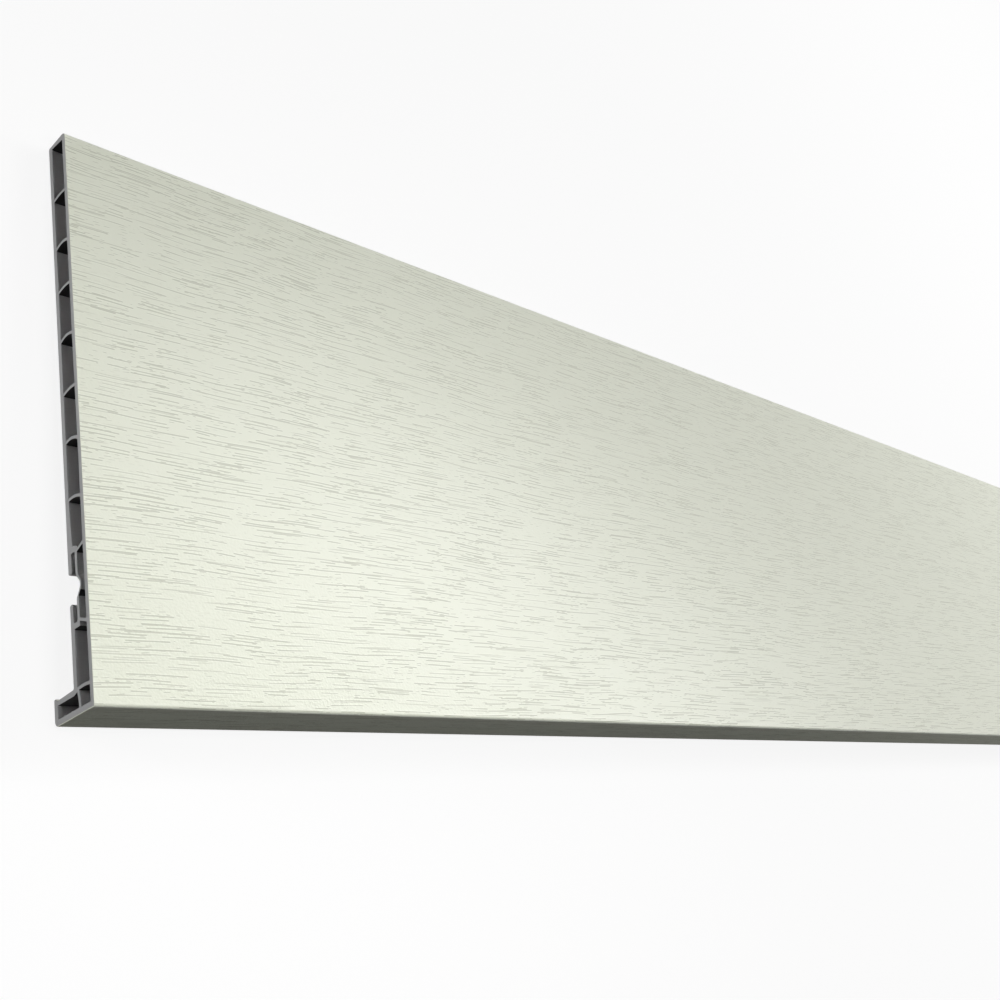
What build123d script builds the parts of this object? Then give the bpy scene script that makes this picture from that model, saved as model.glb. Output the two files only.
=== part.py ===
from build123d import *

import os
from itertools import cycle
from math import atan2, cos, degrees, sin

# A hollow fascia board of extruded PVC: two skins joined by arched webs, a clip slot let into its
# back and a leg along its lower edge that carries the soffit panels. Millimetres.
#
# The section is drawn upright. A point in it is (depth, height): the depth is measured from the
# weather face towards the wall, and the height from the underside of the leg.

# Overall sizes
board_length = 4000.0
board_height = 300.0
board_thickness = 17.0
leg_depth = 35.0

# Walls
front_skin = 3.0
back_skin = 3.0
top_wall = 3.3
top_wall_taper = 1.2
leg_wall = 3.0
web_thickness = 1.5

# Corners of the outline
face_corner = 3.0
foot_corner = 1.5
leg_corner = 3.0
resting_corner = 0.8
root_fillet = 1.0
cell_fillet = 0.5

# Arched webs from the clip slot upward, taken in turn until the height is filled:
# the step up from the web below, the rise of the arch, and how much higher its front end is
arched_webs = (
    (24.0, 1.4, -2.2),
    (28.8, 2.0, -2.3),
    (26.9, 0.9, 0.7),
    (28.0, 2.1, 0.0),
    (28.6, 0.9, 0.5),
    (24.6, 2.0, 0.0),
    (30.0, 0.9, 0.5),
)
least_top_cell = 15.0

# Clip slot, open to the back between two lips
slot_floor = 40.8
lower_lip = 9.2
slot_mouth = 14.1
upper_lip = 9.4
lower_lip_wall = 2.6
slot_depth = 6.4
slot_wall = 1.7
slot_floor_radius = 1.5
lip_end_radius = 1.0
slot_base = 2.5
slot_roof = 2.9

# Rounded recess in the slot's wall, opposite the mouth
recess_depth = 4.3
recess_height = 11.3
recess_wall = 1.3
recess_radius = 2.5
nose_radius = 3.0

# Sloping webs that tie the slot's wall to the front skin, and the thicker skin above the slot
upper_tie_wall = 1.6
upper_tie_rise = 2.0
lower_tie_wall = 1.5
lower_tie_drop = 2.3
lower_tie_lift = 0.5
haunch_height = 24.0
haunch_depth = 1.4

# Leg, with a small upstand along the edge that the soffit panels lie behind
ledge_height = 11.3
ledge_slope = 0.7
ledge_wall = 2.1
upstand_height = 1.2
upstand_width = 2.2
upstand_draft = 0.2
ceiling_rise = 1.0
foot_web_rise = 0.7
prop_setback = 0.4
prop_lean = 1.2
prop_bow = 0.5

# Faces that several features share
cell_back = board_thickness - back_skin
cell_top = board_height - top_wall
wall_back = board_thickness - slot_depth
wall_front = wall_back - slot_wall
mouth_floor = slot_floor + lower_lip
mouth_roof = mouth_floor + slot_mouth
mouth_middle = mouth_floor + slot_mouth / 2
lower_tie_middle = slot_floor + lower_tie_lift
slot_top = mouth_roof + upper_lip
ledge_root = ledge_height + ledge_slope
upstand_top = ledge_height + upstand_height


def rounded(*corners):
    """A face inside a closed outline. Each corner is its depth, its height and its radius."""
    with BuildSketch() as face:
        with BuildLine():
            points = [(depth, height) for depth, height, _ in corners]
            FilletPolyline(points, radius=[radius for *_, radius in corners], close=True)
        make_face()
    return face.sketch


def arched_web(start, end, rise):
    """A strip of even thickness about an arc that rises from the line between its two ends."""
    with BuildSketch() as strip:
        with BuildLine():
            SagittaArc(start, end, rise)
        trace(line_width=web_thickness)
    return strip.sketch


def outline():
    """The outside of the board: leg, upstand, back with its clip slot, top edge and face."""
    lip_face = board_thickness - lower_lip_wall
    return rounded(
        (0, 0, foot_corner),
        (leg_depth, 0, leg_corner),
        (leg_depth, upstand_top, resting_corner),
        (leg_depth - upstand_width + upstand_draft, upstand_top, resting_corner),
        (leg_depth - upstand_width, ledge_height, 0),
        (board_thickness, ledge_root, root_fillet),
        (board_thickness, mouth_floor, lip_end_radius),
        (lip_face, mouth_floor, cell_fillet),
        (lip_face, slot_floor, slot_floor_radius),
        (wall_back, slot_floor, slot_floor_radius),
        (wall_back, mouth_middle - recess_height / 2, recess_radius),
        (wall_back - recess_depth, mouth_middle, nose_radius),
        (wall_back, mouth_middle + recess_height / 2, recess_radius),
        (wall_back, slot_top, cell_fillet),
        (cell_back, slot_top, cell_fillet),
        (cell_back, mouth_roof, cell_fillet),
        (board_thickness, mouth_roof, lip_end_radius),
        (board_thickness, board_height, resting_corner),
        (0, board_height, face_corner),
    )


def upper_cavity():
    """The space between the skins from the slot's roof to the top wall."""
    roof = slot_top + slot_roof
    tie_top = slot_top + upper_tie_wall / 2
    return rounded(
        (front_skin, cell_top, cell_fillet),
        (cell_back, cell_top + top_wall_taper, cell_fillet),
        (cell_back, roof + haunch_height, 0),
        (cell_back - haunch_depth, roof, cell_fillet),
        (wall_front, roof - cell_fillet, cell_fillet),
        (wall_front - upper_tie_wall / 2, tie_top, 0),
        (front_skin, tie_top + upper_tie_rise, cell_fillet),
    )


def webs():
    """The arched webs that divide the upper cavity, from the slot up to the top wall."""
    middle = slot_top + upper_tie_wall / 2
    for step, rise, front_lift in cycle(arched_webs):
        middle += step
        if middle > cell_top - least_top_cell:
            return
        front_end = (front_skin / 2, middle + front_lift / 2)
        back_end = (board_thickness - back_skin / 2, middle - front_lift / 2)
        yield arched_web(front_end, back_end, rise)


def slot_cavity():
    """The closed space between the slot's wall and the front skin, narrowed by the recess."""
    nose_tip = wall_back - recess_depth - recess_wall
    nose_half = (wall_front - nose_tip) * recess_height / 2 / recess_depth
    roof = slot_top - upper_tie_wall / 2
    floor = lower_tie_middle + lower_tie_wall / 2
    return rounded(
        (front_skin, roof + upper_tie_rise, cell_fillet),
        (wall_front, roof, cell_fillet),
        (wall_front, mouth_middle + nose_half, recess_radius - slot_wall),
        (nose_tip, mouth_middle, nose_radius + recess_wall),
        (wall_front, mouth_middle - nose_half, recess_radius - slot_wall),
        (wall_front, floor, cell_fillet),
        (front_skin, floor - lower_tie_drop, cell_fillet),
    )


def lower_cavity():
    """The space below the slot, down to the web across the foot of the board."""
    tie_floor = lower_tie_middle - lower_tie_wall / 2
    return rounded(
        (front_skin, tie_floor - lower_tie_drop, cell_fillet),
        (wall_front, tie_floor, 0),
        (wall_front, slot_floor - slot_base, 0),
        (cell_back, slot_floor - slot_base, cell_fillet),
        (cell_back, ledge_height, 0),
        (front_skin, ledge_height, 0),
    )


def leg_cavity():
    """The space in the leg and in the foot of the board. Its ceiling rises to the head of the prop."""
    ceiling = ledge_height - ledge_wall
    return rounded(
        (front_skin, leg_wall, 0),
        (leg_depth - leg_wall, leg_wall, 0),
        (leg_depth - leg_wall, ceiling, 0),
        (board_thickness, ceiling, cell_fillet),
        (cell_back, ceiling + ceiling_rise, 0),
        (cell_back - back_skin, ledge_height, 0),
        (front_skin, ledge_height, 0),
    )


def leg_webs():
    """The arched web across the foot of the board, and the bowed one that props the leg."""
    joint_height = ledge_height - web_thickness / 4
    prop_head = cell_back - prop_setback
    foot_web_front = (front_skin / 2, joint_height)
    foot_web_back = (board_thickness - back_skin / 2, joint_height)
    yield arched_web(foot_web_front, foot_web_back, foot_web_rise)
    yield arched_web((prop_head, joint_height), (prop_head - prop_lean, leg_wall / 2), -prop_bow)


# The board lies face up, on the edge of the upstand and the back corner of its top edge
rest_angle = atan2(leg_depth - board_thickness, board_height - upstand_top)
depth_way = (0, -sin(rest_angle), -cos(rest_angle))
lying = Plane(origin=(0, 0, 0), x_dir=depth_way, z_dir=(1, 0, 0))
seat = (lying * outline()).bounding_box()
section_start = Vector(-board_length / 2, -seat.center().Y, -seat.min.Z)

with BuildPart() as fascia_board:
    with BuildSketch(Plane(origin=section_start, x_dir=depth_way, z_dir=(1, 0, 0))) as section:
        add(outline())
        for cavity in (upper_cavity(), slot_cavity(), lower_cavity(), leg_cavity()):
            add(cavity, mode=Mode.SUBTRACT)
        for web in (*webs(), *leg_webs()):
            add(web)
    extrude(amount=board_length)

fascia_board.part.label = "fascia_board"
os.makedirs("parts", exist_ok=True)
export_step(fascia_board.part, "parts/fascia_board.step")
print(f"section {section.sketch.area:.0f} mm2, lying {degrees(rest_angle):.2f} degrees from flat")
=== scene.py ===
# %% [markdown]
# # A hollow fascia board
#
# A fascia board covers the ends of the rafters under a roof's edge. This one is extruded: molten
# PVC is pressed through a die, so every wall, web and slot runs the whole length without a change.
# While the skin is still warm, an engraved roller presses a fine wood grain into the face. Last,
# a saw cuts the board off square.
#
# The notebook follows the same order: the die's opening, the roller's grain, the saw's cut. Then
# come the finishes, the light and the camera.

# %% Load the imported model
from itertools import cycle

import bpy
import numpy as np
from mathutils import Matrix, Vector
from mathutils.geometry import delaunay_2d_cdt

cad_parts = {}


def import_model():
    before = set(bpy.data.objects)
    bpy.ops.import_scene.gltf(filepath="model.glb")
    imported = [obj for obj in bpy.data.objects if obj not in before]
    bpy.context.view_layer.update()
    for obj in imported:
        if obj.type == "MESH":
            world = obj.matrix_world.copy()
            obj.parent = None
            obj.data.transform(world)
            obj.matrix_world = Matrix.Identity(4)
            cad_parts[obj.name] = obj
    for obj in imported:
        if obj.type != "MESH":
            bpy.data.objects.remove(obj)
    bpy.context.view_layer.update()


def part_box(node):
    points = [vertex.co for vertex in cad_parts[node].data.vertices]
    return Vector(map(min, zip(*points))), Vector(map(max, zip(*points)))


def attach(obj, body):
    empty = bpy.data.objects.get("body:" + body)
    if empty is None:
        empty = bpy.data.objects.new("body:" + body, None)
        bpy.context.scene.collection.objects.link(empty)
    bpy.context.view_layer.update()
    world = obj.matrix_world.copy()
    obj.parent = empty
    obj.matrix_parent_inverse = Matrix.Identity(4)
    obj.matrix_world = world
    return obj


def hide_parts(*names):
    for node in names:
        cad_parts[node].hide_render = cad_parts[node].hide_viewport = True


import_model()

# %% [markdown]
# ## The sizes
#
# Every size is in metres. They are the die maker's sizes, so the picture and the model agree. A
# point of the section is (depth, height): the depth goes from the weather face towards the wall,
# and the height starts at the underside of the leg. Only a few of them drive the rest.

# %% Sizes of the section
MM = 0.001
TINY = 1e-9

board_height = 300 * MM
board_thickness = 17 * MM
leg_depth = 35 * MM

front_skin = 3.0 * MM
back_skin = 3.0 * MM
top_wall = 3.3 * MM
top_wall_taper = 1.2 * MM
leg_wall = 3.0 * MM
web_thickness = 1.5 * MM

face_corner = 3.0 * MM
foot_corner = 1.5 * MM
leg_corner = 3.0 * MM
resting_corner = 0.8 * MM
root_fillet = 1.0 * MM
cell_fillet = 0.5 * MM

# For each web: the step up from the one below, the rise of its arch, the lift of its front end
arched_webs = (
    (24.0 * MM, 1.4 * MM, -2.2 * MM),
    (28.8 * MM, 2.0 * MM, -2.3 * MM),
    (26.9 * MM, 0.9 * MM, 0.7 * MM),
    (28.0 * MM, 2.1 * MM, 0.0 * MM),
    (28.6 * MM, 0.9 * MM, 0.5 * MM),
    (24.6 * MM, 2.0 * MM, 0.0 * MM),
    (30.0 * MM, 0.9 * MM, 0.5 * MM),
)
least_top_cell = 15.0 * MM

slot_floor = 40.8 * MM
lower_lip = 9.2 * MM
slot_mouth = 14.1 * MM
upper_lip = 9.4 * MM
lower_lip_wall = 2.6 * MM
slot_depth = 6.4 * MM
slot_wall = 1.7 * MM
slot_floor_radius = 1.5 * MM
lip_end_radius = 1.0 * MM
slot_base = 2.5 * MM
slot_roof = 2.9 * MM

recess_depth = 4.3 * MM
recess_height = 11.3 * MM
recess_wall = 1.3 * MM
recess_radius = 2.5 * MM
nose_radius = 3.0 * MM

upper_tie_wall = 1.6 * MM
upper_tie_rise = 2.0 * MM
lower_tie_wall = 1.5 * MM
lower_tie_drop = 2.3 * MM
lower_tie_lift = 0.5 * MM
haunch_height = 24.0 * MM
haunch_depth = 1.4 * MM

ledge_height = 11.3 * MM
ledge_slope = 0.7 * MM
ledge_wall = 2.1 * MM
upstand_height = 1.2 * MM
upstand_width = 2.2 * MM
upstand_draft = 0.2 * MM
ceiling_rise = 1.0 * MM
foot_web_rise = 0.7 * MM
prop_setback = 0.4 * MM
prop_lean = 1.2 * MM
prop_bow = 0.5 * MM

cell_back = board_thickness - back_skin
cell_top = board_height - top_wall
wall_back = board_thickness - slot_depth
wall_front = wall_back - slot_wall
lip_face = board_thickness - lower_lip_wall
mouth_floor = slot_floor + lower_lip
mouth_roof = mouth_floor + slot_mouth
mouth_middle = mouth_floor + slot_mouth / 2
slot_top = mouth_roof + upper_lip
roof = slot_top + slot_roof
tie_top = slot_top + upper_tie_wall / 2
upstand_top = ledge_height + upstand_height
print(f"section {leg_depth / MM:.0f} mm deep and {board_height / MM:.0f} mm high")

# %% [markdown]
# ## Rounded outlines
#
# A die maker files each opening to straight runs with rounded corners. Blender could round them
# with a Bevel modifier, but a bevel has one width and these corners have many radii. So each
# corner is worked out from its own radius, all corners of an outline at once.

# %% Round the corners of an outline
ARC_STEPS = 8


def rounded(corners):
    """A closed outline from rows of depth, height and radius.

    The arc at a corner touches both runs at the distance radius / tan(half the angle between
    them). Its centre lies on the line that halves that angle, and its points turn evenly from
    one touch to the other. A radius of nothing leaves the corner as it is.
    """
    corners = np.array(corners, float)
    place, radius = corners[:, :2], corners[:, 2:]
    before = np.roll(place, 1, 0) - place
    after = np.roll(place, -1, 0) - place
    before /= np.linalg.norm(before, axis=1, keepdims=True)
    after /= np.linalg.norm(after, axis=1, keepdims=True)
    half = np.arccos(np.clip((before * after).sum(1), -1, 1))[:, None] / 2
    middle = before + after
    middle /= np.maximum(np.linalg.norm(middle, axis=1, keepdims=True), TINY)
    centre = place + middle * radius / np.sin(half)
    first = place + before * radius / np.tan(half) - centre
    side = np.sign(before[:, 1:] * after[:, :1] - before[:, :1] * after[:, 1:])
    turn = side * (np.pi - 2 * half) * np.linspace(0, 1, ARC_STEPS + 1)
    x = first[:, :1] * np.cos(turn) - first[:, 1:] * np.sin(turn)
    y = first[:, :1] * np.sin(turn) + first[:, 1:] * np.cos(turn)
    arcs = centre[:, None] + np.stack([x, y], -1)
    kept = (radius > 0) | (np.arange(ARC_STEPS + 1) == 0)
    return arcs[kept]


def sharp(points):
    """Rows of depth and height, as corners with no radius."""
    points = np.atleast_2d(points)
    return np.hstack([points, np.zeros((len(points), 1))])


outline = rounded([
    (0, 0, foot_corner),
    (leg_depth, 0, leg_corner),
    (leg_depth, upstand_top, resting_corner),
    (leg_depth - upstand_width + upstand_draft, upstand_top, resting_corner),
    (leg_depth - upstand_width, ledge_height, 0),
    (board_thickness, ledge_height + ledge_slope, root_fillet),
    (board_thickness, mouth_floor, lip_end_radius),
    (lip_face, mouth_floor, cell_fillet),
    (lip_face, slot_floor, slot_floor_radius),
    (wall_back, slot_floor, slot_floor_radius),
    (wall_back, mouth_middle - recess_height / 2, recess_radius),
    (wall_back - recess_depth, mouth_middle, nose_radius),
    (wall_back, mouth_middle + recess_height / 2, recess_radius),
    (wall_back, slot_top, cell_fillet),
    (cell_back, slot_top, cell_fillet),
    (cell_back, mouth_roof, cell_fillet),
    (board_thickness, mouth_roof, lip_end_radius),
    (board_thickness, board_height, resting_corner),
    (0, board_height, face_corner),
])
print(len(outline), "points round the outside")

# %% [markdown]
# ## Arched webs and the cells between them
#
# Thin webs join the two skins. Each is a strip of even thickness about an arc, so its two sides
# are arcs of the same centre. The cells could be cut out with booleans, but the arcs are known,
# so each cell's outline is put together from them directly.

# %% Find the sides of an arched web
WEB_STEPS = 12


def web_side(start, end, rise, side, reach):
    """One side of a strip about an arc from start to end: side is 1 above it and -1 below.

    The arc's radius is (half the chord squared + rise squared) / (2 * rise), and its centre lies
    below the chord. A point of the side has the height centre + sqrt(radius squared - distance
    squared), with the radius half a thickness more or less.
    """
    start, end = np.array(start), np.array(end)
    chord = end - start
    length = np.linalg.norm(chord)
    up = np.array([-chord[1], chord[0]]) / length
    radius = (length**2 / 4 + rise**2) / (2 * rise)
    centre = (start + end) / 2 + up * (rise - radius)
    depth = np.linspace(*reach, WEB_STEPS + 1)
    span = abs(radius) + np.sign(rise) * side * web_thickness / 2
    height = centre[1] + np.sign(rise) * np.sqrt(span**2 - (depth - centre[0]) ** 2)
    return np.stack([depth, height], 1)


def upper_webs():
    """The two ends and the rise of each web between the skins, from the slot up."""
    middle = tie_top
    for step, rise, front_lift in cycle(arched_webs):
        middle += step
        if middle > cell_top - least_top_cell:
            return
        front_end = (front_skin / 2, middle + front_lift / 2)
        back_end = (board_thickness - back_skin / 2, middle - front_lift / 2)
        yield front_end, back_end, rise


def haunch(height):
    """The depth of the back skin's inner face, which leans forward just above the slot."""
    share = np.clip((roof + haunch_height - height) / haunch_height, 0, 1)
    return cell_back - haunch_depth * share


webs = list(upper_webs())
print(len(webs), "webs between the skins above the slot")

# %% Outline the cells between the skins
def skin_cells():
    """The outline of each cell above the slot, from the lowest to the one under the top wall."""
    floor = [
        (front_skin, tie_top + upper_tie_rise, cell_fillet),
        (wall_front - upper_tie_wall / 2, tie_top, 0),
        (wall_front, roof - cell_fillet, cell_fillet),
        (cell_back - haunch_depth, roof, cell_fillet),
    ]
    for start, end, rise in webs:
        back = haunch(end[1])
        ceiling = web_side(start, end, rise, -1, (back, front_skin))
        yield rounded(np.vstack([floor, sharp(ceiling)]))
        top = web_side(start, end, rise, 1, (front_skin, back))
        bend = np.reshape([cell_back, roof + haunch_height], (-1, 2))
        floor = sharp(np.vstack([top, bend[top[-1, 1] < bend[:, 1]]]))
    ceiling = [
        (cell_back, cell_top + top_wall_taper, cell_fillet),
        (front_skin, cell_top, cell_fillet),
    ]
    yield rounded(np.vstack([floor, ceiling]))


cells = list(skin_cells())
print(len(cells), "cells above the slot")

# %% [markdown]
# ## The cells round the slot and in the leg
#
# Below the webs the board carries a clip slot and a leg. The wall behind the slot bulges towards
# the face, a cell lies under it, and a bowed prop divides the leg's cell in two.

# %% Outline the cells of the slot and the leg
nose_tip = wall_back - recess_depth - recess_wall
nose_half = (wall_front - nose_tip) * recess_height / 2 / recess_depth
tie_under = slot_top - upper_tie_wall / 2
lower_tie_middle = slot_floor + lower_tie_lift
tie_over = lower_tie_middle + lower_tie_wall / 2
tie_floor = lower_tie_middle - lower_tie_wall / 2
cells.append(rounded([
    (front_skin, tie_under + upper_tie_rise, cell_fillet),
    (front_skin, tie_over - lower_tie_drop, cell_fillet),
    (wall_front, tie_over, cell_fillet),
    (wall_front, mouth_middle - nose_half, recess_radius - slot_wall),
    (nose_tip, mouth_middle, nose_radius + recess_wall),
    (wall_front, mouth_middle + nose_half, recess_radius - slot_wall),
    (wall_front, tie_under, cell_fillet),
]))

joint_height = ledge_height - web_thickness / 4
foot_web = (
    (front_skin / 2, joint_height),
    (board_thickness - back_skin / 2, joint_height),
    foot_web_rise,
)
cells.append(rounded(np.vstack([
    sharp(web_side(*foot_web, 1, (front_skin, cell_back))),
    (cell_back, slot_floor - slot_base, cell_fillet),
    (wall_front, slot_floor - slot_base, 0),
    (wall_front, tie_floor, 0),
    (front_skin, tie_floor - lower_tie_drop, cell_fillet),
])))

prop_head = cell_back - prop_setback
prop = ((leg_wall / 2, prop_head - prop_lean), (joint_height, prop_head), -prop_bow)


def prop_side(side, ceiling):
    """One side of the prop, from the leg's wall up to where it meets the ceiling.

    The prop is a web on its side, so its heights take the place of depths. It ends where the
    ceiling's height, read at the prop's depth, is no longer above it.
    """
    full = web_side(*prop, side, (leg_wall, joint_height))[:, ::-1]
    spare = np.interp(full[:, 0], ceiling[:, 0], ceiling[:, 1]) - full[:, 1]
    meeting = np.interp(0, -spare, full[:, 1])
    return web_side(*prop, side, (leg_wall, meeting))[:, ::-1]


foot_ceiling = web_side(*foot_web, -1, (front_skin, cell_back))
ceiling = ledge_height - ledge_wall
leg_back = leg_depth - leg_wall
rising_ceiling = np.array([(cell_back, ceiling + ceiling_rise), (board_thickness, ceiling)])
front_prop = prop_side(-1, foot_ceiling)
back_prop = prop_side(1, rising_ceiling)
covered = foot_ceiling[foot_ceiling[:, 0] < front_prop[-1, 0]][::-1]
cells.append(rounded(sharp(np.vstack([(front_skin, leg_wall), front_prop, covered]))))
cells.append(rounded(np.vstack([
    sharp(back_prop[::-1]),
    (leg_back, leg_wall, 0),
    (leg_back, ceiling, 0),
    (board_thickness, ceiling, cell_fillet),
])))

# A hole's outline runs the other way round, so that its walls face into the hole.
cells = [cell[::-1] for cell in cells]
print(len(cells), "cells in all, with", sum(map(len, cells)), "points")

# %% [markdown]
# ## How the board lies
#
# Laid down on a level floor, the board rests on the edge of its leg's upstand and on the back
# corner of its top edge, so its face leans a few degrees. The model's box says exactly where the
# section starts, and the length.

# %% Place the section in the model
rest_angle = np.arctan2(leg_depth - board_thickness, board_height - upstand_top)
ALONG = np.array([1.0, 0.0, 0.0])
DEPTH = np.array([0.0, -np.sin(rest_angle), -np.cos(rest_angle)])
HEIGHT = np.array([0.0, np.cos(rest_angle), -np.sin(rest_angle)])

low, high = np.array(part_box("fascia_board"))
board_length = high[0] - low[0]


def world(flat):
    """Directions of the section as directions of the model."""
    return flat @ np.array([DEPTH, HEIGHT])


lowest = world(outline).min(0)
start = np.array([low[0], low[1] - lowest[1], low[2] - lowest[2]])


def placed(x, section):
    """Points of the section at the distances x along the board, in the model's frame."""
    return start + np.multiply.outer(x, ALONG) + world(section)


print(f"board {board_length:.3f} m long, leaning {np.degrees(rest_angle):.2f} degrees")

# %% [markdown]
# ## The roller's grain, as grooves
#
# The longest strokes of the grain are real grooves in the face, about 0.8 mm wide and 0.05 mm
# deep. They could all be a bump texture, but then the edge of the board and its mesh would be
# flat. So the face is a grid whose lines run along the board: three lines for each groove, its
# two rims and its floor. How deep the floor lies changes along the board, and where the roller
# has no stroke the three lines lie flat. The roller's pattern comes round again after each turn,
# as it does on the real board.

# %% Engrave the roller
roller_turn = 0.5
turns = round(board_length / roller_turn)
STATIONS = 64
groove_pitch = 5.4 * MM
groove_half = 0.42 * MM
groove_depth = 0.05 * MM
groove_room = 3.2 * groove_half
shared_sway, own_sway = 0.9 * MM, 0.16 * MM
shared_waves, own_waves = 4, 9
jitter_share, sway_share = 0.6, 0.8
# Lengths in stations, from the first number to just below the second
stroke_stations, gap_stations = (1, 6), (2, 9)
most_strokes = 30
weakest, strongest = 0.55, 1.0

random = np.random.default_rng(11)
face_low, face_high = foot_corner, board_height - face_corner
face_margin = 2.2 * MM
groove_count = round((face_high - face_low - 2 * face_margin) / groove_pitch)
stations = np.arange(STATIONS * turns + 1)
angle = 2 * np.pi * stations / STATIONS


def swaying(count, waves, size):
    """Smooth waves that come round each turn: a sum of sines with whole numbers of waves."""
    number = np.arange(1, waves + 1)
    strength = random.normal(size=(count, waves)) * size / np.sqrt(waves * 0.5)
    phase = random.uniform(0, 2 * np.pi, (count, waves))
    return (strength[:, None] * np.sin(angle[:, None] * number + phase[:, None])).sum(-1)


def strokes_on(count):
    """1 where the roller has a stroke and 0 between, for each groove and station of a turn.

    Each groove starts at a chance place. Lengths are drawn in turn for the strokes and the gaps,
    and their running total says on which side of each change a station lies.
    """
    spans = stroke_stations, gap_stations
    runs = [random.integers(*span, (count, most_strokes)) for span in spans]
    change = np.stack(runs, 2).reshape(count, -1).cumsum(1)
    passed = (np.arange(STATIONS)[None, :, None] >= change[:, None]).sum(2)
    shifted = (np.arange(STATIONS) + random.integers(0, STATIONS, (count, 1))) % STATIONS
    return np.take_along_axis(1 - passed % 2, shifted, 1)


jitter = random.uniform(-0.5, 0.5, (groove_count, 1)) * (groove_pitch - groove_room)
spaced = face_low + face_margin + groove_pitch * (np.arange(groove_count)[:, None] + 0.5)
shared_line = swaying(1, shared_waves, shared_sway)
own_line = swaying(groove_count, own_waves, own_sway)
groove_line = spaced + jitter * jitter_share + shared_line * sway_share + own_line
strength = random.uniform(weakest, strongest, (groove_count, 1))
stroke = np.take(strokes_on(groove_count), stations % STATIONS, 1) * strength
print(groove_count, "grooves,", int((np.diff(stroke > 0, axis=1)).sum() / 2), "strokes")

# %% Lay out the face as a grid
# Each groove gives three lines: rim, floor and rim. The face's own two edges close the grid.
offsets = np.array([-groove_half, 0, groove_half])
line_height = (groove_line[:, None] + offsets[:, None]).reshape(-1, len(stations))
line_sunk = (stroke[:, None] * np.array([0, 1, 0])[:, None]).reshape(-1, len(stations))
edge = np.ones((1, len(stations)))
line_height = np.vstack([edge * face_low, line_height, edge * face_high])
line_sunk = np.vstack([edge * 0, line_sunk, edge * 0])
assert (np.diff(line_height, axis=0) > 0).all(), "two lines of the face cross"
station_x = board_length * stations / stations[-1]
face_section = np.stack([line_sunk * groove_depth, line_height], -1)
print("face grid of", face_section.shape[:2], "points")

# %% [markdown]
# ## The extrusion
#
# Now the outlines are carried along the board. Everywhere but on the face one long strip for each
# run of the outline is enough, because nothing changes along it. The two ends are flat, and a
# constrained Delaunay triangulation fills them round the cells. They share their points with the
# strips and with the face, so the mesh is closed.

# %% Number the points
# The outline starts at the foot of the face and ends at its top, so the face itself closes it.
loops = [outline, *cells]
sizes = [len(loop) for loop in loops]
firsts = np.cumsum([0, *sizes])
ring = np.vstack(loops)
ends = np.array([station_x[0], station_x[-1]])
end_points = placed(ends, ring[:, None]).transpose(1, 0, 2)
face_points = placed(station_x, face_section)

near, far = np.arange(len(ring)), np.arange(len(ring)) + len(ring)
grid = np.arange(face_points.shape[0] * face_points.shape[1]).reshape(face_points.shape[:2])
grid = grid + 2 * len(ring)
top_point = sizes[0] - 1
grid[0, [0, -1]] = near[0], far[0]
grid[-1, [0, -1]] = near[top_point], far[top_point]
points = np.vstack([end_points.reshape(-1, 3), face_points.reshape(-1, 3)])
print(len(points), "points before the unused ones are dropped")

# %% Normals and distances round the outlines
CREASE = np.cos(np.radians(30))


def run_normals(loop):
    """The outward directions at the start and the end of each run of a closed outline.

    A run's own direction is its vector turned a quarter to the right. Where two runs meet at less
    than the crease angle, both take the mean of their directions, weighed by their lengths, so an
    arc looks round and the flat beside it stays flat.
    """
    run = np.roll(loop, -1, 0) - loop
    length = np.linalg.norm(run, axis=1, keepdims=True)
    own = np.stack([run[:, 1], -run[:, 0]], 1) / length
    before, weight = np.roll(own, 1, 0), np.roll(length, 1, 0)
    shared = own * length + before * weight
    shared /= np.linalg.norm(shared, axis=1, keepdims=True)
    smooth = (own * before).sum(1, keepdims=True) > CREASE
    at_start = np.where(smooth, shared, own)
    at_end = np.roll(np.where(smooth, shared, before), -1, 0)
    return at_start, at_end


def travelled(loop):
    """The distance round an outline to each of its points, and back to the first."""
    run = np.roll(loop, -1, 0) - loop
    return np.concatenate([[0], np.linalg.norm(run, axis=1).cumsum()])


print("creases are kept where an outline turns by more than", round(np.degrees(np.arccos(CREASE))))

# %% [markdown]
# ## Two maps of the surface
#
# The first map, Stock, is in metres: along the board, and round it from the foot of the face. The
# finishes read it, so a pattern runs round a corner without a break. The second, OFBake, places
# every strip in one square picture, for when the finishes are turned into pictures. The grained
# skin repeats with the roller, so all of its turns share most of the square.

# %% Lay out the picture
GRAIN_BAND = (0.012, 0.84)
PLAIN_BAND = (0.865, 0.925)
SAWN_BAND = (0.945, 0.99)

distance = travelled(outline)
face_run = face_high - face_low
closing = distance[top_point]
upstand_turn = int(np.flatnonzero(np.isclose(outline[:, 1], ledge_height))[0])
back_turn = int(np.flatnonzero(outline[:, 1] > board_height - resting_corner - TINY)[0])
lowest_round = -distance[upstand_turn]
highest_round = face_run + closing - distance[back_turn]
back_run = distance[back_turn] - distance[upstand_turn]
plain_length = back_run + sum(travelled(cell)[-1] for cell in cells)


def between(band, share):
    """The place in a band of the picture for a share from 0 to 1."""
    return band[0] + (band[1] - band[0]) * share


def stock_map(x, way_round):
    """Metres along the board and round it."""
    return np.stack(np.broadcast_arrays(x, way_round), -1)


def grain_picture(x, way_round):
    """Along the board one picture's width for each turn of the roller, and round the skin."""
    share = (way_round - lowest_round) / (highest_round - lowest_round)
    return np.stack(np.broadcast_arrays(x / roller_turn, between(GRAIN_BAND, share)), -1)


def plain_picture(x, way_round):
    """The whole length in a narrow band, because nothing changes along it."""
    along = between(PLAIN_BAND, x / board_length)
    return np.stack(np.broadcast_arrays(way_round / plain_length, along), -1)


print(f"skin {highest_round - lowest_round:.3f} m round, plain walls {plain_length:.3f} m")

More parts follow.
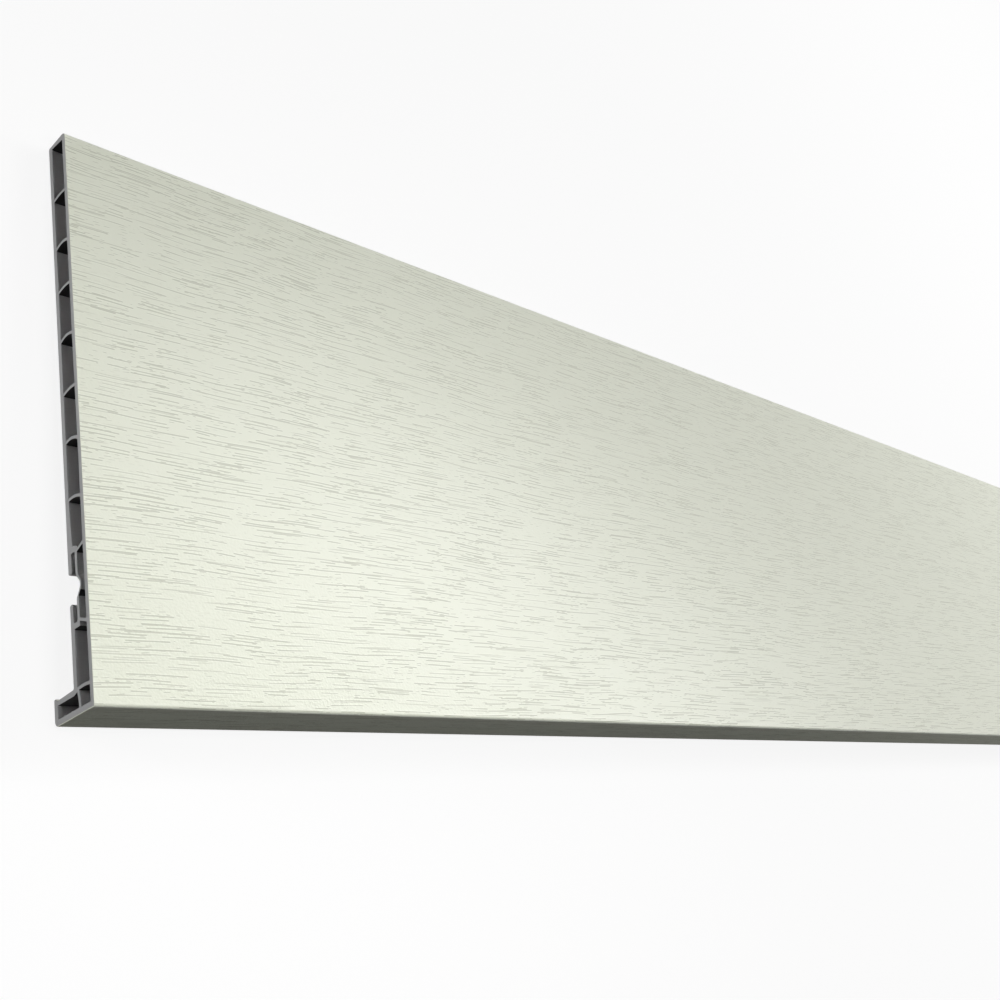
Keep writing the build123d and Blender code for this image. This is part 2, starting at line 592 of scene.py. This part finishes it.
# %% [markdown]
# ## Strips, fans and caps
#
# Each group of faces is kept as arrays: corner numbers, normals, the two maps and the finish. A
# strip beside the face has two points on its outer side and hundreds on the face's side, so it is
# a fan of triangles instead of one long face.

# %% Collect the faces
GRAINED, DULL, DRAWN, SAWN, PAINTED_SHADE = range(5)
# A cell's wall is its ceiling where it faces down by more than this share. Ceilings get painted
# shade.
CEILING_SHARE = 0.5
groups = []


def collect(corners, normals, stock, picture, finish):
    """Keeps faces with as many corners each: numbers, and per corner normals and two maps."""
    shape = corners.shape
    groups.append((
        corners,
        np.broadcast_to(normals, (*shape, 3)),
        np.broadcast_to(stock, (*shape, 2)),
        np.broadcast_to(picture, (*shape, 2)),
        np.full(len(corners), finish),
    ))


def strips(runs, first, count, way_round, at_start, at_end, picture, finish):
    """One long face for each run of an outline: along it at one end, back at the other."""
    start_point = first + runs
    end_point = first + (runs + 1) % count
    corners = np.stack([near[start_point], near[end_point], far[end_point], far[start_point]], 1)
    start_normal, end_normal = world(at_start[runs]), world(at_end[runs])
    normals = np.stack([start_normal, end_normal, end_normal, start_normal], 1)
    x = ends[[0, 0, 1, 1]]
    span = np.stack([way_round[runs], way_round[runs + 1]], 1)[:, [0, 1, 1, 0]]
    collect(corners, normals, stock_map(x, span), picture(x, span), finish)


total = back_run
for first, count, cell in zip(firsts[1:], sizes[1:], cells):
    at_start, at_end = run_normals(cell)
    way_round = total + travelled(cell)
    total = way_round[-1]
    # Ceilings that face down get the near-black finish, painted shade where no light reaches
    wall = np.where(at_start[:, 1] < -CEILING_SHARE, PAINTED_SHADE, DRAWN)
    strips(np.arange(count), first, count, way_round, at_start, at_end, plain_picture, wall)

at_start, at_end = run_normals(outline)
below = -distance
above = face_run + closing - distance
foot_round = np.arange(1, ARC_STEPS)
leg_round = np.arange(ARC_STEPS, upstand_turn)
skin_above = np.arange(back_turn, top_point - 1)
behind = np.arange(upstand_turn, back_turn)
strips(foot_round, 0, sizes[0], below, at_start, at_end, grain_picture, GRAINED)
strips(leg_round, 0, sizes[0], below, at_start, at_end, grain_picture, DULL)
strips(skin_above, 0, sizes[0], above, at_start, at_end, grain_picture, GRAINED)
back_round = distance - distance[upstand_turn]
strips(behind, 0, sizes[0], back_round, at_start, at_end, plain_picture, DRAWN)
print(sum(len(group[0]) for group in groups), "long strips")

# %% Fan the strips beside the face
def fan(line, line_round, other, other_round, other_normal, order):
    """Triangles between a line of the face and a line that has points only at its two ends.

    Up to half way they share the near end of the other line, past it the far end, and one more
    triangle takes both. order turns each triangle to face outwards.
    """
    count = len(line)
    numbers = np.concatenate([line, [near[other], far[other]]])
    x = np.concatenate([station_x, ends])
    span = np.concatenate([np.full(count, line_round), np.full(2, other_round)])
    normals = np.vstack([np.tile(-DEPTH, (count, 1)), np.tile(world(other_normal), (2, 1))])
    step = np.arange(count - 1)
    shared = np.where(step < count // 2, count, count + 1)
    triangles = np.vstack([
        np.stack([step, shared, step + 1], 1),
        [[count // 2, count, count + 1]],
    ])[:, order]
    maps = stock_map(x, span), grain_picture(x, span)
    collect(numbers[triangles], normals[triangles], *(m[triangles] for m in maps), GRAINED)


fan(grid[0], 0, 1, below[1], at_end[0], [0, 1, 2])
fan(grid[-1], face_run, top_point - 1, above[top_point - 1], at_start[top_point - 1], [0, 2, 1])
print(len(groups[-1][0]) + len(groups[-2][0]), "triangles in the fans")

# %% Cover the face with its grid
def squares(values, upper=None):
    """The values at the four corners of each square of a grid, in turn round it.

    A second grid gives other values for the same points where they are upper corners.
    """
    if upper is None:
        values, upper = values[:-1], values[1:]
    four = [values[:, :-1], values[:, 1:], upper[:, 1:], upper[:, :-1]]
    return np.stack(four, 2).reshape(-1, 4, *values.shape[2:])


# The face is a height field: with the depth as a function of the place, its normal is the
# outward direction plus the slope along and the slope across, each times its own direction. A
# groove has crisp rims and a round floor, so the slope across counts at a rim and not at a floor,
# and the skin between two grooves stays flat.
sunk = face_section[..., 0]
on_floor = (line_sunk.max(1, keepdims=True) > 0).astype(float)
across_slope = np.diff(sunk, axis=0) / np.diff(line_height, axis=0)
across = squares(across_slope * (1 - on_floor[:-1]), across_slope * (1 - on_floor[1:]))
along = squares(np.gradient(sunk, station_x, axis=1))
normals = -DEPTH + across[..., None] * HEIGHT + along[..., None] * ALONG
normals /= np.linalg.norm(normals, axis=-1, keepdims=True)
face_round = line_height - face_low
face_x = np.broadcast_to(station_x, face_round.shape)
face_maps = stock_map(face_x, face_round), grain_picture(face_x, face_round)
collect(squares(grid), normals, *(squares(m) for m in face_maps), GRAINED)
print(len(groups[-1][0]), "squares on the face")

# %% Cap the two ends
sawn_outline = np.vstack([outline, face_section[-2:0:-1, 0]])
sawn_loops = [sawn_outline, *cells]
sawn_points = np.vstack(sawn_loops)
sawn_firsts = np.cumsum([0, *map(len, sawn_loops)])
sawn_faces = [list(range(a, b)) for a, b in zip(sawn_firsts[:-1], sawn_firsts[1:])]
INSIDE_WITH_HOLES = 2
flat_points = [Vector(point) for point in sawn_points]
filled = delaunay_2d_cdt(flat_points, [], sawn_faces, INSIDE_WITH_HOLES, TINY)
_, _, filled_faces, source_points, *_ = filled
triangles = np.array(source_points)[:, 0][np.array(filled_faces)]
corner = sawn_points[triangles]
sides = corner[:, 1:] - corner[:, :1]
turned = sides[:, 0, 0] * sides[:, 1, 1] < sides[:, 0, 1] * sides[:, 1, 0]
triangles[turned] = triangles[turned][:, ::-1]

sawn_picture = np.stack([
    sawn_points[:, 1] / board_height,
    between(SAWN_BAND, sawn_points[:, 0] / leg_depth),
], 1)
for numbers, grid_end, way, order in ((near, 0, -ALONG, [0, 2, 1]), (far, -1, ALONG, [0, 1, 2])):
    numbers = np.concatenate([
        numbers[: sizes[0]],
        grid[-2:0:-1, grid_end],
        numbers[sizes[0] :],
    ])
    turned = triangles[:, order]
    collect(numbers[turned], way, sawn_points[turned], sawn_picture[turned], SAWN)
print(len(triangles), "triangles in each cap")

# %% Make the mesh
def join(name):
    """One mesh from all the groups, without the points that no face uses."""
    corners, normals, stock, picture, finishes = zip(*groups)
    numbers = np.concatenate([corner.ravel() for corner in corners])
    used, numbers = np.unique(numbers, return_inverse=True)
    faces, first = [], 0
    for count, width in (corner.shape for corner in corners):
        faces += numbers[first : first + count * width].reshape(count, width).tolist()
        first += count * width
    mesh = bpy.data.meshes.new(name)
    mesh.from_pydata(points[used], [], faces, shade_flat=False)
    for layer_name, places in (("Stock", stock), ("OFBake", picture)):
        layer = mesh.uv_layers.new(name=layer_name)
        flat = np.concatenate([place.reshape(-1, 2) for place in places])
        layer.uv.foreach_set("vector", flat.astype(np.float32).ravel())
    mesh.polygons.foreach_set("material_index", np.concatenate(finishes).astype(np.int32))
    mesh.normals_split_custom_set(np.concatenate([way.reshape(-1, 3) for way in normals]))
    sunk_at = np.zeros(len(points))
    sunk_at[grid[1:-1]] = line_sunk[1:-1]
    groove = mesh.attributes.new("groove", "FLOAT", "POINT")
    groove.data.foreach_set("value", sunk_at[used].astype(np.float32))
    return in_scene(name, mesh)


def in_scene(name, content):
    """A new object in the scene, with that mesh, lamp or camera in it."""
    piece = bpy.data.objects.new(name, content)
    bpy.context.scene.collection.objects.link(piece)
    return piece


board = join("fascia_board_extrusion")
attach(board, "root")
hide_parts("fascia_board")

# On a closed mesh every edge belongs to two faces, so each edge's number comes twice.
edge_numbers = np.empty(len(board.data.loops), np.int32)
board.data.loops.foreach_get("edge_index", edge_numbers)
open_edges = (np.bincount(edge_numbers) != 2).sum()
board.data.calc_loop_triangles()
print(len(board.data.loop_triangles), "triangles,", open_edges, "open edges")

# %% [markdown]
# ## Writing shaders as sums
#
# A procedural finish is mostly arithmetic. Placed by hand, each sum is a Math node and two wires.
# A small class lets Python's own operators add those nodes, so a finish reads like its formula.

# %% Wrap the shader nodes
class Wire:
    """One output in a node tree. Operators on it add Math nodes and give the new output."""

    def __init__(self, finish, socket):
        self.finish, self.socket = finish, socket

    def maths(self, operation, *values):
        return self.finish.add("Math", {"operation": operation}, values)

    def __add__(self, other):
        return self.maths("ADD", self, other)

    def __sub__(self, other):
        return self.maths("SUBTRACT", self, other)

    def __rsub__(self, other):
        return self.maths("SUBTRACT", other, self)

    def __mul__(self, other):
        return self.maths("MULTIPLY", self, other)

    def __truediv__(self, other):
        return self.maths("DIVIDE", self, other)

    def __mod__(self, other):
        return self.maths("FLOORED_MODULO", self, other)

    def __abs__(self):
        return self.maths("ABSOLUTE", self)

    __radd__, __rmul__ = __add__, __mul__

    def most(self, other):
        return self.maths("MAXIMUM", self, other)

    def floor(self):
        return self.maths("FLOOR", self)

    def fraction(self):
        return self.maths("FRACT", self)

    def fade(self, low, high):
        """Goes smoothly from 0 at low to 1 at high, and low may be the larger."""
        ends = {"Value": self, "From Min": low, "From Max": high}
        return self.finish.add("MapRange", {"interpolation_type": "SMOOTHSTEP"}, ends)

    def parts(self):
        """The three parts of a vector or colour."""
        node = self.finish.add("SeparateXYZ", {}, [self]).socket.node
        return [Wire(self.finish, output) for output in node.outputs]


class Finish:
    """The node tree of a material or of the world, and the one way that nodes get into it."""

    # A Mix node has sockets for numbers, vectors and colours. Those for colours come last.
    COLOURS = 6, 7
    MIXED_COLOUR = 2

    def __init__(self, owner):
        owner.use_nodes = True
        self.owner, self.tree = owner, owner.node_tree
        self.tree.nodes.clear()

    def add(self, kind, settings=None, inputs=(), output=0):
        """Adds a node: its settings first, then a value or a wire for each of its sockets."""
        node = self.tree.nodes.new("ShaderNode" + kind)
        for setting, value in (settings or {}).items():
            setattr(node, setting, value)
        named = inputs.items() if isinstance(inputs, dict) else enumerate(inputs)
        for socket, value in named:
            if isinstance(value, Wire):
                self.tree.links.new(value.socket, node.inputs[socket])
            else:
                node.inputs[socket].default_value = value
        return Wire(self, node.outputs[output]) if node.outputs else None

    def vector(self, x, y=0.0, z=0.0):
        return self.add("CombineXYZ", {}, [x, y, z])

    def noise(self, place, scale, detail=2.0):
        """Smooth noise from 0 to 1 with about scale waves to each unit of the place."""
        return self.add("TexNoise", {}, {"Vector": place, "Scale": scale, "Detail": detail})

    def mix(self, share, first, second):
        """A colour between two others."""
        inputs = {"Factor": share, **dict(zip(self.COLOURS, (first, second)))}
        return self.add("Mix", {"data_type": "RGBA"}, inputs, self.MIXED_COLOUR)

    def bump(self, height):
        """The normal of a surface with a relief of that many millimetres."""
        return self.add("Bump", {}, {"Height": height, "Distance": MM, "Strength": 1.0})

    def surface(self, inputs):
        """Ends a material in one principled shader."""
        self.add("OutputMaterial", {}, {"Surface": self.add("BsdfPrincipled", {}, inputs)})
        return self.owner

    def seen(self):
        """1 where the camera, a gloss or a glass looks, and 0 for the light that bounces."""
        kinds = "Is Camera Ray", "Is Glossy Ray", "Is Transmission Ray"
        camera, gloss, glass = (self.add("LightPath", output=kind) for kind in kinds)
        return camera.most(gloss).most(glass)


print("shader sums ready")

# %% [markdown]
# ## Strokes of the grain
#
# The grain's short strokes are too many to model, so they are drawn by a shader. A noise texture
# could be stretched along the board, but it gives soft streaks of one kind. The roller was cut
# stroke by stroke, so the shader does the same: it lays the skin out in lanes, cuts each lane in
# cells, and draws in each cell at most one stroke with its own place, length and slant.

# %% Strokes in lanes
# Shares of a lane's width for a stroke's place and slant, and of its cell for half its length
place_share, slant_share = 0.5, 0.6
shortest_share, longer_share = 0.14, 0.34
stroke_end = 0.8 * MM
chance_edge = 0.02


def rolled(finish, x, y, waves, across):
    """A place on the roller for smooth noise, which comes round again after each turn.

    The distance along the board becomes an angle, and the circle is as large as it must be to hold
    that many waves. The distance across stays straight.
    """
    angle = x * (2 * np.pi / roller_turn)
    radius = waves / (2 * np.pi)
    cosine = finish.add("Math", {"operation": "COSINE"}, [angle])
    sine = finish.add("Math", {"operation": "SINE"}, [angle])
    return finish.vector(cosine * radius, sine * radius, y * across)


def strokes(finish, x, y, lane, cells, share, half_width, seed):
    """Strokes along the board, and the lips beside them: 1 on the line or lip and 0 elsewhere.

    Lanes lie side by side, and a turn of the roller holds that many cells of a lane. White noise
    of the cell's and the lane's number gives the stroke its place, length and slant. The lips reach
    from the stroke's edge to twice its half width.
    """
    row = y / lane + seed
    number = row.floor()
    chance = finish.add("TexWhiteNoise", {"noise_dimensions": "1D"}, {"W": number + 0.5})
    along = x * (cells / roller_turn) + chance * cells
    count = along.floor() % cells
    place = finish.vector(count + 0.5, number + 0.5, seed)
    drawn = finish.add("TexWhiteNoise", {"noise_dimensions": "3D"}, {"Vector": place}, "Color")
    first, second, third = drawn.parts()
    cell = roller_turn / cells
    from_middle = along.fraction() - 0.5
    slant = from_middle * (third - 0.5) * (slant_share * lane)
    line = (second - 0.5) * (place_share * lane) + slant
    off = abs((row.fraction() - 0.5) * lane - line)
    reach = (shortest_share + longer_share * third) * cell
    end = (reach - abs(from_middle) * cell).fade(0.0, stroke_end)
    there = end * first.fade(share + chance_edge, share - chance_edge)
    body = off.fade(half_width, half_width / 2) * there
    return body, off.fade(half_width * 2, half_width) * there


# %% [markdown]
# ## The grained skin
#
# The face, the top edge and the leg have a thin cream skin. Its strokes look darker than the skin
# for two reasons: shade lies in them, and their floors are rougher. So each stroke is worth a
# bump, more roughness and a darker cream, which is the grain's own tone with painted shade in it.
# The two lips that the roller pushes up beside it are a bump and a lighter cream, which is a
# painted highlight. Strokes of two lengths lie over each other, and short specks gather where a
# slow cloud of noise is high. The roller presses hardest on the face and polishes it to satin. The
# leg's skin only runs past it, so it is the same but duller.

# %% The grained skin
skin_colour = (0.79, 0.812, 0.69, 1.0)
# The strokes' darker cream: the grain's own tone with painted shade in it
stroke_colour = (0.58, 0.595, 0.484, 1.0)
# The lips' lighter cream is a painted highlight
lip_highlight_colour = (0.89, 0.915, 0.795, 1.0)
skin_gloss, skin_roughness = 0.25, 0.29
leg_gloss, leg_roughness = 0.08, 0.75
worn_roughness, peel_roughness = 0.06, 0.06

# Slow noise: its waves to a turn of the roller, and across the board to a metre
sway_waves, sway_across, sway_width = 7, 14.0, 5.5 * MM
cloud_waves, cloud_across, cloud_edges = 16, 90.0, (0.40, 0.56)
peel_waves = 750.0

# Strokes: their lane, its cells, the share of cells that have one, half their width, their seed
close_strokes = (2.0 * MM, 17, 0.68, 0.46 * MM, 3.0)
wide_strokes = (2.9 * MM, 11, 0.32, 0.47 * MM, 5.0)
short_specks = (1.5 * MM, 100, 0.40, 0.36 * MM, 8.0)

# How strongly each kind is drawn where the cloud is low, and how much more where it is high
calm_close, busy_close = 0.65, 0.35
calm_specks, busy_specks = 0.2, 0.6
wide_strength, groove_strength = 0.9, 0.9
groove_edges = (0.1, 0.65)
# How far the strokes take their darker cream, partly painted shade, and the lips their painted
# highlight
stroke_tint, lip_highlight_tint = 0.92, 0.7

# Relief in millimetres
stroke_relief, lip_relief, peel_relief = -0.032, 0.016, 0.15


def grained_skin(name, gloss, roughness):
    """The cream skin with the roller's grain, at the gloss and roughness that are given."""
    finish = Finish(bpy.data.materials.new(name))
    x, y, _ = finish.add("UVMap", {"uv_map": "Stock"}).parts()
    sway = finish.noise(rolled(finish, x, y, sway_waves, sway_across), 1.0, 1.0)
    cloud = finish.noise(rolled(finish, x, y, cloud_waves, cloud_across), 1.0, 1.0)
    swayed, busy = y + (sway - 0.5) * sway_width, cloud.fade(*cloud_edges)
    close, close_lips = strokes(finish, x, swayed, *close_strokes)
    wide, wide_lips = strokes(finish, x, swayed, *wide_strokes)
    specks, speck_lips = strokes(finish, x, swayed, *short_specks)
    drawn = (close * (calm_close + busy_close * busy)).most(wide * wide_strength)
    drawn = drawn.most(specks * (calm_specks + busy_specks * busy))
    lips = (close_lips.most(wide_lips).most(speck_lips * busy) - drawn).most(0.0)
    groove = finish.add("Attribute", {"attribute_name": "groove"}, output="Fac")
    # Strokes and the mesh's grooves get the darker cream, grain with painted shade, and more
    # roughness
    grain_and_shade = drawn.most(groove.fade(*groove_edges) * groove_strength)
    peel = finish.noise(finish.add("TexCoord", output="Object"), peel_waves, 2.0) - 0.5
    # The lips get a lighter cream, a painted highlight
    skin = finish.mix(lips * lip_highlight_tint, skin_colour, lip_highlight_colour)
    relief = drawn * stroke_relief + lips * lip_relief + peel * peel_relief
    return finish.surface({
        "Base Color": finish.mix(grain_and_shade * stroke_tint, skin, stroke_colour),
        "Roughness": roughness + grain_and_shade * worn_roughness + peel * peel_roughness,
        "Specular IOR Level": gloss,
        "Normal": finish.bump(relief),
    })


board.data.materials.append(grained_skin("grained_skin", skin_gloss, skin_roughness))
board.data.materials.append(grained_skin("dull_skin", leg_gloss, leg_roughness))
print(len(board.data.materials[GRAINED].node_tree.nodes), "nodes draw the grain")

# %% [markdown]
# ## The plain walls
#
# The back, the slot and the insides of the cells touch only the die and the cooling water. They
# keep the core's grey, a dull gloss, and faint straight lines where the die scratched. Lines that
# never change along the board come from noise that reads only the distance round it. The ceilings
# of the cells are black in the photo, as no light reaches them, so they have a dark finish of
# their own: light that bounces in a pale cell would leave them grey.

# %% The plain walls
wall_light, wall_dark = (0.50, 0.50, 0.50, 1.0), (0.43, 0.43, 0.435, 1.0)
# Near-black colours for the cells' ceilings, painted shade
painted_shade_light, painted_shade_dark = (0.04, 0.04, 0.04, 1.0), (0.03, 0.03, 0.03, 1.0)
wall_roughness, rougher_wall = 0.42, 0.12
fine_waves, broad_waves = 900.0, 130.0
fine_relief, broad_relief = 0.012, 0.05
fine_share, broad_share = 0.6, 0.4


def drawn_wall(name, light, dark):
    """The plain back and the walls of the cells, with faint lines that the die leaves."""
    finish = Finish(bpy.data.materials.new(name))
    _, y, _ = finish.add("UVMap", {"uv_map": "Stock"}).parts()
    fine = finish.noise(finish.vector(0.0, y), fine_waves, 3.0)
    broad = finish.noise(finish.vector(3.0, y), broad_waves, 1.0)
    return finish.surface({
        "Base Color": finish.mix(fine * fine_share + broad * broad_share, dark, light),
        "Roughness": wall_roughness + fine * rougher_wall,
        "Specular IOR Level": skin_gloss,
        "Normal": finish.bump(fine * fine_relief + broad * broad_relief),
    })


board.data.materials.append(drawn_wall("drawn_wall", wall_light, wall_dark))
print(len(board.data.materials[DRAWN].node_tree.nodes), "nodes draw the plain walls")

# %% [markdown]
# ## The sawn ends
#
# The cut shows the grey core, with the cream skin as a thin layer on the face and under the leg.
# A circular saw leaves fine arcs about the blade's own centre, so the arcs are noise over the
# distance from a point beside the board.

# %% The sawn ends
blade_centre = (-60 * MM, 240 * MM, 0)
skin_layer = 0.35 * MM
skin_fade = 0.1 * MM
core_light, core_dark = (0.50, 0.50, 0.50, 1.0), (0.41, 0.41, 0.415, 1.0)
sawn_roughness, rougher_cut = 0.55, 0.15
arc_waves, blotch_waves = 1300.0, 160.0
arc_share, blotch_share = 0.6, 0.4
arc_relief = 0.02


def sawn_end():
    """The cut ends: the core's grey, the thin cream skin outside it, and the saw's fine arcs."""
    finish = Finish(bpy.data.materials.new("sawn_end"))
    stock = finish.add("UVMap", {"uv_map": "Stock"})
    depth, height, _ = stock.parts()
    reach = finish.add("VectorMath", {"operation": "DISTANCE"}, [stock, blade_centre], "Value")
    arcs = finish.noise(finish.vector(reach), arc_waves, 3.0)
    blotch = finish.noise(stock, blotch_waves, 2.0)
    cream = depth.fade(skin_layer + skin_fade, skin_layer)
    cream = cream.most(height.fade(skin_layer + skin_fade, skin_layer))
    core = finish.mix(arcs * arc_share + blotch * blotch_share, core_dark, core_light)
    return finish.surface({
        "Base Color": finish.mix(cream, core, skin_colour),
        "Roughness": sawn_roughness + arcs * rougher_cut,
        "Specular IOR Level": skin_gloss,
        "Normal": finish.bump(arcs * arc_relief),
    })


board.data.materials.append(sawn_end())
# The ceilings: the die's lines in near black, painted shade
board.data.materials.append(drawn_wall("painted_shade_wall", painted_shade_light, painted_shade_dark))
print(len(board.data.materials[SAWN].node_tree.nodes), "nodes draw the sawn ends")

# %% [markdown]
# ## A pale floor that keeps the shadow
#
# The background is white because the floor's own colour is, in the camera's eyes and in gloss,
# and not because more light falls on it. Part of what the camera sees is still lit, and that part
# carries the board's shadow. It fades out with the distance from the board, so that the far floor
# is as white as the world and no horizon shows.

# %% Floor and world
floor_size = 60.0
lit_share = 0.12
lit_reach, white_from = 2.5, 7.0
white, bounced = (1.0, 1.0, 1.0, 1.0), (0.12, 0.12, 0.12, 1.0)


def pale_floor():
    """White where the camera or a gloss sees it, and grey for the light that bounces off it."""
    finish = Finish(bpy.data.materials.new("pale_floor"))
    seen = finish.seen()
    place = finish.add("TexCoord", output="Object")
    distance = finish.add("VectorMath", {"operation": "LENGTH"}, [place], "Value")
    lit_here = distance.fade(white_from, lit_reach) * lit_share
    lit = finish.add("BsdfDiffuse", {}, {"Color": finish.mix(seen, bounced, white)})
    glowing = finish.add("Emission", {}, {"Color": white})
    either = finish.add("MixShader", {}, [seen * (1 - lit_here), lit, glowing])
    finish.add("OutputMaterial", {}, {"Surface": either})
    return finish.owner


floor_mesh = bpy.data.meshes.new("pale_floor")
floor_corners = np.array([(-1, -1, 0), (1, -1, 0), (1, 1, 0), (-1, 1, 0)]) * floor_size / 2
floor_mesh.from_pydata(floor_corners, [], [(0, 1, 2, 3)])
floor_mesh.materials.append(pale_floor())
floor = in_scene("pale_floor", floor_mesh)
print("floor", floor_size, "m wide")

# %% The world round the floor
ambient = 0.04


def studio():
    """White to the camera and to gloss, and otherwise a faint even light from all round."""
    finish = Finish(bpy.data.worlds.new("studio"))
    faint = finish.add("Background", {}, {"Color": white, "Strength": ambient})
    plain = finish.add("Background", {}, {"Color": white, "Strength": 1.0})
    either = finish.add("MixShader", {}, [finish.seen(), faint, plain])
    finish.add("OutputWorld", {}, {"Surface": either})
    return finish.owner


scene = bpy.context.scene
scene.world = studio()
print("ambient light", ambient)

# %% [markdown]
# ## Light
#
# Lamps are placed in the board's own directions: along, depth and height, in metres from the foot
# of the near end. A long softbox beyond the middle of the board gives most of the light, and its
# gloss is the broad glow on the lower left of the face. A small lamp by the foot of the near end
# lights that corner more and is turned away from the top edge. Three others fill the middle of
# the face, the underside of the leg and the far half. The lamp for the saw cut has a grid, so that
# it burns no spot on the floor.

# %% Lamps
axes = np.array([ALONG, DEPTH, HEIGHT])
foot = placed(0.0, np.zeros(2))


def turned_to(back, right):
    """The turn of a lamp or camera, from the ways behind it and to its right."""
    back = back / np.linalg.norm(back)
    up = np.cross(back, right)
    up /= np.linalg.norm(up)
    return Matrix(np.stack([np.cross(up, back), up, back], 1).tolist()).to_4x4()


def lamp(name, place, target, size, long_way, strength, spread=180):
    """A rectangular lamp that faces its target, with its length turned to the long way.

    A grid in front of it may narrow its light to a spread in degrees.
    """
    place, target, long_way = (np.array(point) @ axes for point in (place, target, long_way))
    light = bpy.data.lights.new(name, "AREA")
    light.shape = "RECTANGLE"
    light.size, light.size_y = size
    light.energy = strength
    light.spread = np.radians(spread)
    turn = turned_to(place - target, long_way)
    in_scene(name, light).matrix_world = Matrix.Translation(foot + place) @ turn
    print(name, "gives", strength, "W")


lamp("key", (2.45, -2.31, 1.05), (0.2, 0.0, 0.12), (2.4, 0.4), (0.624, 0.351, -0.698), 57)
lamp("foot_lift", (0.03, -0.55, -0.03), (0.12, 0.0, -0.33), (0.2, 0.2), (1, 0, 0), 1.85)
lamp("middle_fill", (1.35, -1.3, 0.64), (1.5, 0.0, 0.15), (0.4, 0.4), (1, 0, 0), 3.0)
lamp("leg_fill", (1.1, -0.25, -0.5), (0.95, 0.02, 0.0), (0.3, 0.3), (1, 0, 0), 0.36)
lamp("end_fill", (-1.1, -0.24, 0.4), (0.0, 0.0, 0.12), (0.35, 0.35), (0, 0, 1), 0.58, 50)
lamp("far_fill", (3.5, -1.7, -0.3), (3.3, 0.0, 0.15), (1.2, 0.6), (1, 0, 0), 10)

# %% [markdown]
# ## The camera
#
# The camera's place and turn were solved from the board's own straight edges in the photo. They
# are kept in the board's directions, along, depth and height, from the foot of the near end.

# %% Camera
from_foot = np.array([-0.2474, -0.4598, -0.1381])
camera_right = np.array([0.7001, -0.6923, -0.1747])
camera_back = -np.array([0.6983, 0.6129, 0.3699])
turn = turned_to(camera_back @ axes, camera_right @ axes)
sensor_width = 36.0
focal_pixels = 1211.6
picture_pixels = 1000
view = bpy.data.cameras.new("camera")
view.sensor_width = sensor_width
view.lens = sensor_width * focal_pixels / picture_pixels
view.clip_start = 0.01
camera = in_scene("camera", view)
camera.matrix_world = Matrix.Translation(foot + from_foot @ axes) @ turn
scene.camera = camera
scene.view_settings.view_transform = "Standard"
print("lens", round(view.lens, 2), "mm, camera at", [round(v, 3) for v in camera.location])
